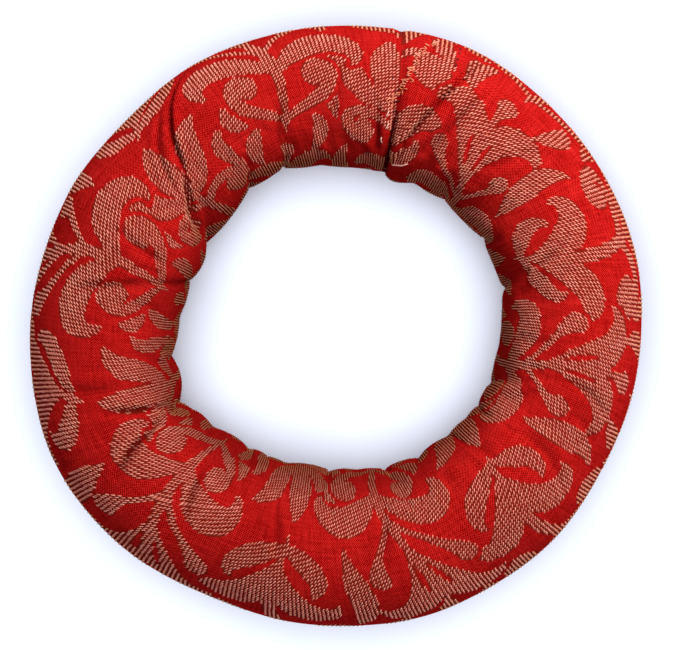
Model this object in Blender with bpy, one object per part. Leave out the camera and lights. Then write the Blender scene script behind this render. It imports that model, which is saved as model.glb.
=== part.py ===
"""Ring cushion that a singing bowl stands on: one stuffed cloth tube, closed into a ring by a hand-sewn join.

Metres, +Z up. The origin is on the surface that the cushion lies on, under the middle of its outline.
The ring is worked out section by section. A ring angle goes anticlockwise from +X, seen from above. A tube
angle goes round one section: 0 at the outer edge, 90 on the crown, 180 at the hole and 270 underneath.
"""

from typing import NamedTuple

import bmesh
import bpy
import numpy as np

MM = 0.001


class Section(NamedTuple):
    """One place round the ring: degrees, then millimetres."""

    ring_angle: float
    outer_reach: float
    inner_reach: float
    crown: float


class Gather(NamedTuple):
    """One valley where the cloth is drawn in at the hole: degrees, then millimetres."""

    ring_angle: float
    depth: float
    width: float
    reach: float
    lean: float


class Lump(NamedTuple):
    """One slow wave in the stuffing: waves round the ring and the tube, height in millimetres, phase in degrees."""

    ring_waves: int
    tube_waves: int
    height: float
    phase: float


# Outline and height of the tube, a row for each sixteenth of the ring
SECTIONS = [
    Section(0.0, 74.6, 41.2, 32.5),
    Section(22.5, 75.4, 41.9, 32.0),
    Section(45.0, 75.0, 40.6, 32.5),
    Section(67.5, 74.6, 39.2, 33.5),
    Section(90.0, 73.2, 39.4, 32.5),
    Section(112.5, 72.7, 39.8, 32.0),
    Section(135.0, 71.7, 37.4, 32.5),
    Section(157.5, 72.7, 35.8, 34.0),
    Section(180.0, 74.6, 38.6, 33.5),
    Section(202.5, 76.0, 40.0, 33.5),
    Section(225.0, 75.0, 37.2, 34.0),
    Section(247.5, 72.9, 35.0, 34.5),
    Section(270.0, 73.3, 35.0, 34.0),
    Section(292.5, 74.1, 36.8, 34.0),
    Section(315.0, 74.4, 37.8, 33.5),
    Section(337.5, 74.1, 39.8, 32.5),
]

# Valleys at the hole. Reach is how many degrees of the tube they run over the crown; lean is how far they slant
GATHERS = [
    Gather(12.8, 1.0, 2.6, 55.0, 3.0),
    Gather(30.0, 0.6, 2.6, 50.0, -3.0),
    Gather(49.6, 1.3, 3.0, 65.0, 4.0),
    Gather(61.1, 1.4, 2.8, 55.0, -2.0),
    Gather(95.0, 0.7, 2.6, 50.0, 2.0),
    Gather(108.5, 1.4, 3.2, 75.0, -5.0),
    Gather(122.0, 1.3, 3.0, 60.0, -4.0),
    Gather(145.5, 2.4, 3.6, 125.0, -17.0),
    Gather(163.2, 1.6, 3.4, 65.0, 5.0),
    Gather(177.0, 0.8, 2.6, 50.0, 2.0),
    Gather(190.2, 1.8, 3.4, 60.0, 2.0),
    Gather(206.9, 4.2, 3.4, 80.0, 3.0),
    Gather(220.0, 2.2, 3.6, 70.0, 4.0),
    Gather(235.0, 1.6, 3.0, 60.0, 3.0),
    Gather(242.6, 1.2, 2.6, 50.0, -2.0),
    Gather(250.3, 2.0, 3.4, 85.0, 5.0),
    Gather(267.3, 1.6, 3.2, 65.0, -3.0),
    Gather(278.5, 0.9, 2.6, 50.0, 2.0),
    Gather(289.2, 1.6, 3.2, 70.0, 4.0),
    Gather(301.9, 1.7, 3.2, 65.0, -3.0),
    Gather(315.5, 1.6, 3.2, 80.0, 5.0),
    Gather(324.3, 1.3, 2.8, 55.0, 2.0),
    Gather(330.7, 1.2, 2.6, 55.0, -2.0),
    Gather(340.8, 1.3, 3.0, 60.0, 3.0),
]

# Waves of the stuffing under the cloth; they fade out at the outer edge and the hole, where the table rules
LUMPS = [
    Lump(7, 1, 0.45, 40.0),
    Lump(11, 1, 0.30, 200.0),
    Lump(5, 2, 0.35, 110.0),
    Lump(13, 2, 0.25, 310.0),
]

# Hand-sewn join, where one end of the tube is tucked into the other
JOIN_AT_CROWN = 75.0
JOIN_LEAN = 2.5
JOIN_DEPTH_OUTSIDE = 0.6
JOIN_DEPTH_AT_HOLE = 2.2
JOIN_WIDTH = 1.5
TUCK_SWELL = 0.7
TUCK_LENGTH = 11.0

# Shape of one section
SPRING_SHARE = 0.47
SINK = 1.3
SQUARENESS = 2.15
UNDER_REACH = 65.0

RING_STEPS = 168
TUBE_STEPS = 32

CLOTH_COLOUR = (0.56, 0.025, 0.02, 1.0)
CLOTH_ROUGHNESS = 0.62


def clear_scene():
    """Removes what a new Blender file holds."""
    for thing in list(bpy.data.objects):
        bpy.data.objects.remove(thing)


def around(column, ring):
    """A column of SECTIONS at any ring angles, as a smooth closed curve through its rows."""
    rows = np.array([getattr(section, column) for section in SECTIONS])
    place = np.mod(ring, 360.0) / 360.0 * len(rows)
    first = np.floor(place).astype(int)
    part = place - first
    before, here, after, beyond = (rows[(first + step) % len(rows)] for step in (-1, 0, 1, 2))
    bend = 2.0 * before - 5.0 * here + 4.0 * after - beyond
    turn = 3.0 * (here - after) + beyond - before
    return here + 0.5 * part * (after - before + part * (bend + part * turn))


def apart(ring, place):
    """Signed degrees from a place to each ring angle, the short way round."""
    return np.mod(ring - place + 180.0, 360.0) - 180.0


def fade(share):
    """Smooth fall from 1 to 0 as share goes from 0 to 1."""
    part = np.clip(share, 0.0, 1.0)
    return 1.0 - part * part * (3.0 - 2.0 * part)


def gathered(ring, tube, reach_here):
    """Depth in millimetres that the gathers draw the cloth in, on a grid of ring and tube angles."""
    over = 180.0 - tube
    drawn = np.zeros_like(tube)
    for gather in GATHERS:
        over_share = np.where(over >= 0.0, over / gather.reach, -over / UNDER_REACH)
        centre = gather.ring_angle + gather.lean * over / gather.reach
        across = np.radians(apart(ring, centre)) * reach_here / (gather.width * (0.7 + 0.6 * over_share))
        drawn += gather.depth * np.exp(-np.abs(across) ** 1.5) * fade(over_share)
    return drawn


def joined(ring, tube, reach_here):
    """Depth in millimetres of the join's groove, less the swell of the end that is tucked in beside it."""
    outward = np.cos(np.radians(tube))
    line = JOIN_AT_CROWN + JOIN_LEAN * outward
    across = np.radians(apart(ring, line)) * reach_here
    depth = JOIN_DEPTH_AT_HOLE + (JOIN_DEPTH_OUTSIDE - JOIN_DEPTH_AT_HOLE) * (1.0 + outward) / 2.0
    groove = depth * np.exp(-((across / JOIN_WIDTH) ** 2))
    tucked = TUCK_SWELL * (1.0 - outward) * fade(-across / TUCK_LENGTH) * (across < 0.0)
    return groove - tucked


def stuffed(ring, tube):
    """Height in millimetres of the slow waves in the stuffing."""
    height = np.zeros_like(tube)
    for lump in LUMPS:
        along = np.sin(np.radians(lump.ring_waves * ring + lump.phase))
        height += lump.height * along * np.sin(np.radians(lump.tube_waves * tube))
    return height


def rounded(value):
    """Cosine or sine of a tube angle, drawn towards a slightly square section."""
    return np.sign(value) * np.abs(value) ** (2.0 / SQUARENESS)


def cushion_points():
    """Points of the whole ring in metres, one row for each ring step, centred by its own outline."""
    ring, tube = np.meshgrid(
        np.arange(RING_STEPS) * 360.0 / RING_STEPS,
        (np.arange(TUBE_STEPS) + 0.5) * 360.0 / TUBE_STEPS,
        indexing="ij",
    )
    outer = around("outer_reach", ring)
    inner = around("inner_reach", ring)
    crown = around("crown", ring)
    out_share = rounded(np.cos(np.radians(tube)))
    up_share = rounded(np.sin(np.radians(tube)))
    spring = SPRING_SHARE * crown
    reach = (outer + inner) / 2.0 + (outer - inner) / 2.0 * out_share
    height = spring + np.where(up_share > 0.0, crown - spring, spring + SINK) * up_share
    proud = stuffed(ring, tube) - gathered(ring, tube, reach) - joined(ring, tube, reach)
    reach = reach + proud * np.cos(np.radians(tube))
    height = np.maximum(height + proud * np.sin(np.radians(tube)), 0.0)
    points = np.stack(
        [reach * np.cos(np.radians(ring)), reach * np.sin(np.radians(ring)), height],
        axis=-1,
    )
    low = points.min(axis=(0, 1))
    high = points.max(axis=(0, 1))
    middle = np.array([(low[0] + high[0]) / 2.0, (low[1] + high[1]) / 2.0, 0.0])
    return (points - middle) * MM


def cloth_material():
    """Red brocade as one plain finish."""
    material = bpy.data.materials.new("red_brocade")
    material.use_nodes = True
    shader = material.node_tree.nodes["Principled BSDF"]
    shader.inputs["Base Color"].default_value = CLOTH_COLOUR
    shader.inputs["Roughness"].default_value = CLOTH_ROUGHNESS
    shader.inputs["Metallic"].default_value = 0.0
    return material


def make_cushion():
    """The stuffed ring as one closed solid, flat where it lies on the surface."""
    points = cushion_points()
    shape = bmesh.new()
    rings = [[shape.verts.new(point) for point in row] for row in points]
    for step, row in enumerate(rings):
        following = rings[(step + 1) % RING_STEPS]
        for place in range(TUBE_STEPS):
            beside = (place + 1) % TUBE_STEPS
            shape.faces.new((row[place], following[place], following[beside], row[beside]))
    bmesh.ops.recalc_face_normals(shape, faces=shape.faces)
    bmesh.ops.triangulate(shape, faces=shape.faces)
    mesh = bpy.data.meshes.new("ring_cushion")
    shape.to_mesh(mesh)
    shape.free()
    mesh.shade_smooth()
    mesh.materials.append(cloth_material())
    cushion = bpy.data.objects.new("ring_cushion", mesh)
    bpy.context.scene.collection.objects.link(cushion)
    return cushion


clear_scene()
make_cushion()
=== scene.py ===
"""Looks of the ring cushion: a stuffed tube of red and copper-gold brocade, closed by a hand-sewn join.

Sizes in the tables are millimetres and degrees; what is built is in metres. A ring angle goes anticlockwise
from +X, seen from above. A tube angle goes round one section: 0 at the outer edge, 90 on the crown, 180 at
the hole and 270 underneath. Cloth places are millimetres on the flat strip: along it from the join, and
round its girth.
"""

import logging
import math
from dataclasses import dataclass, field
from enum import Enum
from typing import Callable, NamedTuple, Optional, Union

import bpy
import numpy as np
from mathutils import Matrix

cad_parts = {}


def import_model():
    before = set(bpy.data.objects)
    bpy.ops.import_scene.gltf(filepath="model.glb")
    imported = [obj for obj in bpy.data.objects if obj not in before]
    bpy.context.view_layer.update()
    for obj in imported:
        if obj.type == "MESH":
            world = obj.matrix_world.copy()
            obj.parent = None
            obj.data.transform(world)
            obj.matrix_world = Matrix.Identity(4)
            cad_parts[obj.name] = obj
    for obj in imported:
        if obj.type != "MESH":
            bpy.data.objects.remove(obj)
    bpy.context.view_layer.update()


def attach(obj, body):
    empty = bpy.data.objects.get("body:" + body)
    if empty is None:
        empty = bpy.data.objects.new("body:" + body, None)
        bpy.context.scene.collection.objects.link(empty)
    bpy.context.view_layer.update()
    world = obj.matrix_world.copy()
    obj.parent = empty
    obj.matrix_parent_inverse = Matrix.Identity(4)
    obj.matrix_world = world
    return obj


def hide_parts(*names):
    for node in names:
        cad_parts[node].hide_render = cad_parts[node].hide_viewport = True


LOG = logging.getLogger("ring_cushion")
MM = 0.001

# A colour, a place or a scale
Triple = tuple[float, float, float]


class Section(NamedTuple):
    """One place round the ring."""

    outer_reach: float
    inner_reach: float
    crown: float


class Gather(NamedTuple):
    """One valley where the cloth is drawn in at the hole."""

    ring_angle: float
    depth: float
    width: float
    reach: float
    lean: float


class Lump(NamedTuple):
    """One slow wave in the stuffing."""

    ring_waves: int
    tube_waves: int
    height: float
    phase: float


class Crease(NamedTuple):
    """One fold over the crown, along places given as ring angle and tube angle.

    Ridge is how high the cloth stands beside the fold, as a share of the depth: on its left where it is above
    0, and on its right where it is below.
    """

    places: list[tuple[float, float]]
    depth: float
    width: float
    ridge: float


# Outline and height of the tube, a row for each sixteenth of the ring from +X
SECTIONS = [
    Section(74.6, 41.2, 32.5),
    Section(75.4, 41.9, 32.0),
    Section(75.0, 40.6, 32.5),
    Section(74.6, 39.2, 33.5),
    Section(73.2, 39.4, 32.5),
    Section(72.7, 39.8, 32.0),
    Section(71.7, 37.4, 32.5),
    Section(72.7, 35.8, 34.0),
    Section(74.6, 38.6, 33.5),
    Section(76.0, 40.0, 33.5),
    Section(75.0, 37.2, 34.0),
    Section(72.9, 35.0, 34.5),
    Section(73.3, 35.0, 34.0),
    Section(74.1, 36.8, 34.0),
    Section(74.4, 37.8, 33.5),
    Section(74.1, 39.8, 32.5),
]

# Valleys at the hole. Reach is how many degrees of the tube they run up from it; lean is how far they slant
GATHERS = [
    Gather(12.8, 0.7, 2.6, 55.0, 3.0),
    Gather(30.0, 0.4, 2.6, 50.0, -3.0),
    Gather(49.6, 0.9, 3.0, 65.0, 4.0),
    Gather(61.1, 1.1, 2.8, 55.0, -2.0),
    Gather(95.0, 0.5, 2.6, 50.0, 2.0),
    Gather(108.5, 1.0, 3.2, 75.0, -5.0),
    Gather(122.0, 0.9, 3.0, 60.0, -4.0),
    Gather(145.5, 2.4, 3.6, 125.0, -17.0),
    Gather(163.2, 1.1, 3.4, 65.0, 5.0),
    Gather(177.0, 0.6, 2.6, 50.0, 2.0),
    Gather(190.2, 1.2, 3.4, 60.0, 2.0),
    Gather(206.9, 3.8, 3.4, 80.0, 3.0),
    Gather(220.0, 1.4, 3.6, 70.0, 4.0),
    Gather(235.0, 1.0, 3.0, 60.0, 3.0),
    Gather(242.6, 0.8, 2.6, 50.0, -2.0),
    Gather(250.3, 1.2, 3.4, 85.0, 5.0),
    Gather(267.3, 0.9, 3.2, 65.0, -3.0),
    Gather(278.5, 0.6, 2.6, 50.0, 2.0),
    Gather(289.2, 1.0, 3.2, 70.0, 4.0),
    Gather(301.9, 0.9, 3.2, 65.0, -3.0),
    Gather(315.5, 1.2, 3.2, 80.0, 5.0),
    Gather(324.3, 0.9, 2.8, 55.0, 2.0),
    Gather(330.7, 0.8, 2.6, 55.0, -2.0),
    Gather(340.8, 0.9, 3.0, 60.0, 3.0),
]

# Waves of the stuffing under the cloth
LUMPS = [
    Lump(7, 1, 0.45, 40.0),
    Lump(11, 1, 0.30, 200.0),
    Lump(5, 2, 0.35, 110.0),
    Lump(13, 2, 0.25, 310.0),
]

# Folds that run over the crown
CREASES = [
    Crease([(121.0, 28), (127.0, 55), (130.6, 75), (132.7, 91), (135.2, 104)], 1.5, 0.65, 0.7),
    Crease([(135.0, 102), (138.9, 120), (143.4, 143), (148.0, 174)], 1.8, 0.70, 0.6),
    Crease([(129.0, 50), (134.0, 71), (137.6, 91), (140.8, 111)], 1.2, 0.60, -0.5),
    Crease([(140.5, 119), (144.0, 134), (147.5, 152)], 0.9, 0.70, -0.4),
    Crease([(60.2, 32), (62.4, 63), (65.0, 86), (67.0, 103), (68.8, 124), (69.2, 150)], 2.2, 0.62, -0.8),
    Crease([(79.5, 96), (78.4, 120), (76.5, 150)], 0.8, 0.80, 0.5),
    Crease([(41.0, 82), (48.0, 118)], 0.55, 1.0, 0.5),
    Crease([(37.0, 60), (44.0, 88)], 0.45, 0.9, -0.5),
    Crease([(341.0, 50), (345.0, 74), (347.0, 98)], 0.7, 1.0, 0.5),
    Crease([(335.0, 46), (340.0, 84)], 0.5, 0.9, 0.5),
    Crease([(324.0, 56), (329.0, 84), (331.0, 110)], 0.7, 1.0, -0.5),
    Crease([(281.0, 74), (286.0, 128)], 0.7, 1.0, 0.5),
    Crease([(256.0, 84), (251.0, 134)], 0.75, 1.0, 0.5),
    Crease([(233.0, 78), (229.0, 104), (227.5, 136)], 0.8, 1.0, 0.6),
    Crease([(215.0, 72), (211.0, 96), (208.5, 134)], 1.2, 0.95, 0.6),
    Crease([(200.0, 84), (203.0, 112), (205.5, 144)], 1.1, 0.95, -0.6),
    Crease([(193.0, 60), (197.0, 112)], 0.6, 1.0, 0.5),
    Crease([(172.0, 70), (167.0, 126)], 0.75, 1.0, 0.5),
    Crease([(156.0, 82), (161.0, 134)], 0.7, 1.0, -0.5),
    Crease([(103.0, 88), (108.0, 138)], 0.8, 1.0, 0.5),
    Crease([(88.0, 72), (91.0, 120)], 0.55, 1.0, 0.5),
    Crease([(20.0, 92), (15.0, 134)], 0.5, 1.0, 0.5),
    Crease([(57.0, 66), (59.5, 92), (62.0, 130)], 0.8, 0.9, -0.5),
]

# Cloth beside a fold: how far off it is highest and how wide it is, in the fold's widths, and its lower side
SHOULDER_PLACE = 2.2
SHOULDER_WIDTH = 1.3
LOWER_SHOULDER = 0.15

# Hand-sewn join, where one end of the tube is tucked into the other
JOIN_AT_CROWN = 75.0
JOIN_LEAN = 2.5
JOIN_DEPTH_OUTSIDE = 0.45
JOIN_DEPTH_AT_HOLE = 2.4
JOIN_WIDTH = 1.1
TUCK_SWELL = 0.7
TUCK_LENGTH = 11.0
TUCK_RISE = 6.0
TUCK_START = 0.2

# Where the join's groove closes round the hole's edge, how far each way, how softly, and by what share
CLOSED_AT = 190.0
CLOSED_HALF = 18.0
CLOSED_FADE = 26.0
CLOSED_SHARE = 0.85

# Shape of one section
SPRING_SHARE = 0.47
SINK = 1.3
SQUARENESS = 2.15
UNDER_REACH = 65.0

# Frayed edge of the end that is tucked in, from the outer edge to the groove, as ring angle and tube angle
FRAYED_EDGE = [(70.8, 37.0), (72.3, 54.0), (73.0, 70.0), (73.4, 80.0), (74.2, 89.0), (76.3, 97.0)]

# Short pale stitches beside the groove, and dark ones further out beside it and beside the frayed edge
PALE_STITCHES = [(76.4, 107.0), (75.9, 117.0), (76.3, 130.0)]
DARK_STITCHES = [(65.7, 35.0), (65.5, 42.0), (65.3, 50.0), (65.1, 57.0), (77.0, 71.0), (76.9, 80.0)]

# Loose end of pale thread, as ring angle, tube angle and height off the cloth
LOOSE_END = [
    (70.6, 153.0, -0.3),
    (69.8, 151.0, 0.3),
    (68.6, 148.5, 0.5),
    (67.2, 145.5, 0.5),
    (65.8, 142.5, 0.4),
]

# The flat strip of cloth: its length round the ring and its width round the tube
STRIP_LENGTH = 352.0
STRIP_WIDTH = 110.0

# Lean of its threads on the crown, its swing twice round the ring, and how far from the crown it builds up
SKEW_MEAN = -8.0
SKEW_SWING = 11.0
LEAN_REACH = 16.0

RING_STEPS = 240
TUBE_STEPS = 96
FINER = 2


def between_four(four: list[np.ndarray], part: np.ndarray) -> np.ndarray:
    """A smooth curve between the second and the third of four rows, at a part of the way."""
    before, here, after, beyond = four
    bend = 2.0 * before - 5.0 * here + 4.0 * after - beyond
    turn = 3.0 * (here - after) + beyond - before
    return here + 0.5 * part * (after - before + part * (bend + part * turn))


def around(column: str, ring: np.ndarray) -> np.ndarray:
    """Reads a column of SECTIONS at any ring angles, as a smooth closed curve through its rows.

    Args:
        column: Name of the column.
        ring: Ring angles.

    Returns:
        The column's value at each ring angle.
    """
    rows = np.array([getattr(section, column) for section in SECTIONS])
    place = np.mod(ring, 360.0) / 360.0 * len(rows)
    first = np.floor(place).astype(int)
    part = place - first
    return between_four([rows[(first + step) % len(rows)] for step in (-1, 0, 1, 2)], part)


def apart(ring: np.ndarray, place: Union[float, np.ndarray]) -> np.ndarray:
    """Signed degrees from a place to each ring angle, the short way round."""
    return np.mod(ring - place + 180.0, 360.0) - 180.0


def fade(share: np.ndarray) -> np.ndarray:
    """Smooth fall from 1 to 0 as share goes from 0 to 1."""
    part = np.clip(share, 0.0, 1.0)
    return 1.0 - part * part * (3.0 - 2.0 * part)


class Ramp(NamedTuple):
    """A smooth rise from 0 to 1 over some degrees of the tube."""

    start: float
    length: float

    def at(self, tube: np.ndarray) -> np.ndarray:
        """How far it has risen at each tube angle."""
        return 1.0 - fade((tube - self.start) / self.length)


# Where the painted shade along the join widens and darkens, where painted shade darkens the cloth at the
# hole, and where both end
GROOVE_WIDENS = Ramp(110.0, 60.0)
GROOVE_DARKENS = Ramp(60.0, 70.0)
HOLE_DARKENS = Ramp(120.0, 60.0)
GROOVE_ENDS = 250.0
HOLE_ENDS = 240.0


def rounded(value: np.ndarray) -> np.ndarray:
    """Cosine or sine of a tube angle, drawn towards a slightly square section."""
    return np.sign(value) * np.abs(value) ** (2.0 / SQUARENESS)


def unit(vectors: np.ndarray) -> np.ndarray:
    """Vectors along the last axis, each made one long."""
    return vectors / np.maximum(np.linalg.norm(vectors, axis=-1, keepdims=True), 1e-12)


class Wave(Enum):
    """Which way a grid of ring and tube steps is read."""

    RING = 0
    TUBE = 1


def refined(grid: np.ndarray, way: Wave) -> np.ndarray:
    """Doubles a closed grid's steps one way, on a smooth curve through its points.

    Args:
        grid: Points by ring step and tube step.
        way: Which of the two is doubled.

    Returns:
        The finer grid.
    """
    axis = way.value
    after, before, beyond = (np.roll(grid, shift, axis) for shift in (-1, 1, -2))
    middle = (9.0 * (grid + after) - before - beyond) / 16.0
    size = list(grid.shape)
    size[axis] *= 2
    return np.stack([grid, middle], axis + 1).reshape(size)


def between_steps(grid: np.ndarray, left_step: np.ndarray, low_step: np.ndarray) -> np.ndarray:
    """Reads a grid of numbers or vectors between its steps, wrapped both ways.

    Args:
        grid: The grid.
        left_step: Steps, with parts, along its first axis.
        low_step: The same along its second.

    Returns:
        What the grid holds at those places.
    """
    left = np.floor(left_step).astype(int)
    low = np.floor(low_step).astype(int)
    across, up = left_step - left, low_step - low
    if grid.ndim > 2:
        across, up = across[..., None], up[..., None]
    left, right = left % grid.shape[0], (left + 1) % grid.shape[0]
    low, top = low % grid.shape[1], (low + 1) % grid.shape[1]
    lower = grid[left, low] * (1.0 - across) + grid[right, low] * across
    upper = grid[left, top] * (1.0 - across) + grid[right, top] * across
    return lower * (1.0 - up) + upper * up


def keep_on(mesh: bpy.types.Mesh, name: str, values: np.ndarray, domain: str = "POINT") -> None:
    """Keeps numbers, or vectors given as rows, on a mesh for its finish or its nodes to read."""
    kind, key = ("FLOAT_VECTOR", "vector") if values.ndim > 1 else ("FLOAT", "value")
    mesh.attributes.new(name, kind, domain).data.foreach_set(key, values.astype(np.float32).ravel())


def mesh_object(
    name: str, points: np.ndarray, faces: np.ndarray, material: Optional[bpy.types.Material]
) -> bpy.types.Object:
    """Makes a mesh object at the origin.

    Args:
        name: Name of the object and its mesh.
        points: Points in metres, one a row.
        faces: Point numbers, one face a row.
        material: Its material, if it has one.

    Returns:
        The object, linked to the scene, with smooth faces.
    """
    mesh = bpy.data.meshes.new(name)
    mesh.from_pydata(points.tolist(), [], faces.tolist())
    mesh.shade_smooth()
    if material is not None:
        mesh.materials.append(material)
    made = bpy.data.objects.new(name, mesh)
    bpy.context.scene.collection.objects.link(made)
    return made


def grid_faces(ring_steps: int, tube_steps: int) -> np.ndarray:
    """Faces of a grid closed both ways, facing outwards.

    Args:
        ring_steps: Steps round the ring.
        tube_steps: Steps round the tube.

    Returns:
        Four point numbers for each face, by ring step and then tube step.
    """
    ring, tube = np.meshgrid(np.arange(ring_steps), np.arange(tube_steps), indexing="ij")
    next_ring = (ring + 1) % ring_steps
    next_tube = (tube + 1) % tube_steps
    corners = [
        ring * tube_steps + tube,
        ring * tube_steps + next_tube,
        next_ring * tube_steps + next_tube,
        next_ring * tube_steps + tube,
    ]
    return np.stack(corners, axis=-1).reshape(-1, 4)[:, ::-1]


class RingForm:
    """The stuffed ring's own form, before its cloth puckers."""

    def angles(self) -> tuple[np.ndarray, np.ndarray]:
        """Ring and tube angles of the grid; its columns lean with the join, which is one of them."""
        ring, tube = np.meshgrid(
            np.arange(RING_STEPS) * 360.0 / RING_STEPS,
            (np.arange(TUBE_STEPS) + 0.5) * 360.0 / TUBE_STEPS,
            indexing="ij",
        )
        return ring + JOIN_LEAN * np.cos(np.radians(tube)), tube

    def gathered(self, ring: np.ndarray, tube: np.ndarray, reach_here: np.ndarray) -> np.ndarray:
        """Depth that the gathers at the hole draw the cloth in."""
        over = 180.0 - tube
        drawn = np.zeros_like(tube)
        for gather in GATHERS:
            over_share = np.where(over >= 0.0, over / gather.reach, -over / UNDER_REACH)
            centre = gather.ring_angle + gather.lean * over / gather.reach
            width = gather.width * (0.95 + 0.45 * over_share)
            across = np.radians(apart(ring, centre)) * reach_here / width
            drawn += gather.depth * np.exp(-(np.abs(across) ** 1.5)) * fade(over_share)
        return drawn

    def joined(self, ring: np.ndarray, tube: np.ndarray, reach_here: np.ndarray) -> np.ndarray:
        """Depth of the join's groove, less the swell of the end that is tucked in beside it."""
        outward = np.cos(np.radians(tube))
        line = JOIN_AT_CROWN + JOIN_LEAN * outward
        across = np.radians(apart(ring, line)) * reach_here
        depth = JOIN_DEPTH_AT_HOLE + (JOIN_DEPTH_OUTSIDE - JOIN_DEPTH_AT_HOLE) * (1.0 + outward) / 2.0
        closed = fade((np.abs(tube - CLOSED_AT) - CLOSED_HALF) / CLOSED_FADE)
        depth = depth * (1.0 - CLOSED_SHARE * closed)
        groove = depth * np.exp(-((across / JOIN_WIDTH) ** 2))
        swell = fade(-across / TUCK_LENGTH) * (1.0 - fade(TUCK_START - across / TUCK_RISE))
        return groove - TUCK_SWELL * (1.0 - outward) * swell

    def stuffed(self, ring: np.ndarray, tube: np.ndarray) -> np.ndarray:
        """Height of the slow waves in the stuffing."""
        height = np.zeros_like(tube)
        for lump in LUMPS:
            along = np.sin(np.radians(lump.ring_waves * ring + lump.phase))
            height += lump.height * along * np.sin(np.radians(lump.tube_waves * tube))
        return height

    def folded(
        self, ring: np.ndarray, tube: np.ndarray, reach_here: np.ndarray
    ) -> tuple[np.ndarray, np.ndarray]:
        """Depth of the folds over the crown, less the cloth that stands beside them.

        Args:
            ring: Ring angles.
            tube: Tube angles.
            reach_here: How far each place is from the middle of the ring.

        Returns:
            The depth, and how near each place is to the bottom of a fold, from 0 to 1, which is painted as
            shade.
        """
        depth = np.zeros_like(tube)
        bottom = np.zeros_like(tube)
        per_degree = math.radians(STRIP_WIDTH / (2.0 * math.pi))
        for crease in CREASES:
            first = crease.places[0][0]
            x = np.radians(apart(ring, first)) * reach_here
            y = tube * per_degree
            nearest = np.full(tube.shape, 1e3)
            side = np.ones_like(tube)
            along = np.zeros_like(tube)
            legs = len(crease.places) - 1
            for leg in range(legs):
                (ring_start, tube_start), (ring_end, tube_end) = crease.places[leg : leg + 2]
                x_start = np.radians(ring_start - first) * reach_here
                y_start = tube_start * per_degree
                run_x = np.radians(ring_end - first) * reach_here - x_start
                run_y = tube_end * per_degree - y_start
                over, up = x - x_start, y - y_start
                share = np.clip((over * run_x + up * run_y) / (run_x**2 + run_y**2), 0.0, 1.0)
                away = np.hypot(over - share * run_x, up - share * run_y)
                closer = away < nearest
                nearest = np.where(closer, away, nearest)
                side = np.where(closer, np.sign(run_x * up - run_y * over), side)
                along = np.where(closer, (leg + share) / legs, along)
            ends = np.sin(np.pi * along) ** 0.6
            away = nearest / crease.width
            narrow = ends * np.exp(-(away**1.5))
            shoulder = np.exp(-(((away - SHOULDER_PLACE) / SHOULDER_WIDTH) ** 2))
            raised = np.where(side * crease.ridge > 0.0, abs(crease.ridge), LOWER_SHOULDER)
            depth += crease.depth * (narrow - raised * ends * shoulder)
            # Nearness to a fold's bottom, later painted as shade on the cloth and the gold
            bottom = np.maximum(bottom, narrow * min(crease.depth, 1.0))
        return depth, bottom

    def points(self) -> np.ndarray:
        """Points of the whole form.

        Returns:
            Millimetres from the middle of the outline, by ring step and tube step.
        """
        ring, tube = self.angles()
        outer = around("outer_reach", ring)
        inner = around("inner_reach", ring)
        crown = around("crown", ring)
        out_share = rounded(np.cos(np.radians(tube)))
        up_share = rounded(np.sin(np.radians(tube)))
        spring = SPRING_SHARE * crown
        reach = (outer + inner) / 2.0 + (outer - inner) / 2.0 * out_share
        height = spring + np.where(up_share > 0.0, crown - spring, spring + SINK) * up_share
        proud = self.stuffed(ring, tube) - self.gathered(ring, tube, reach) - self.joined(ring, tube, reach)
        reach = reach + proud * np.cos(np.radians(tube))
        height = height + proud * np.sin(np.radians(tube))
        turn = np.radians(ring)
        points = np.stack([reach * np.cos(turn), reach * np.sin(turn), height], axis=-1)
        low = points.min(axis=(0, 1))
        high = points.max(axis=(0, 1))
        points -= np.array([(low[0] + high[0]) / 2.0, (low[1] + high[1]) / 2.0, 0.0])
        points[..., 2] = np.maximum(points[..., 2], 0.0)
        return points


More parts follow.
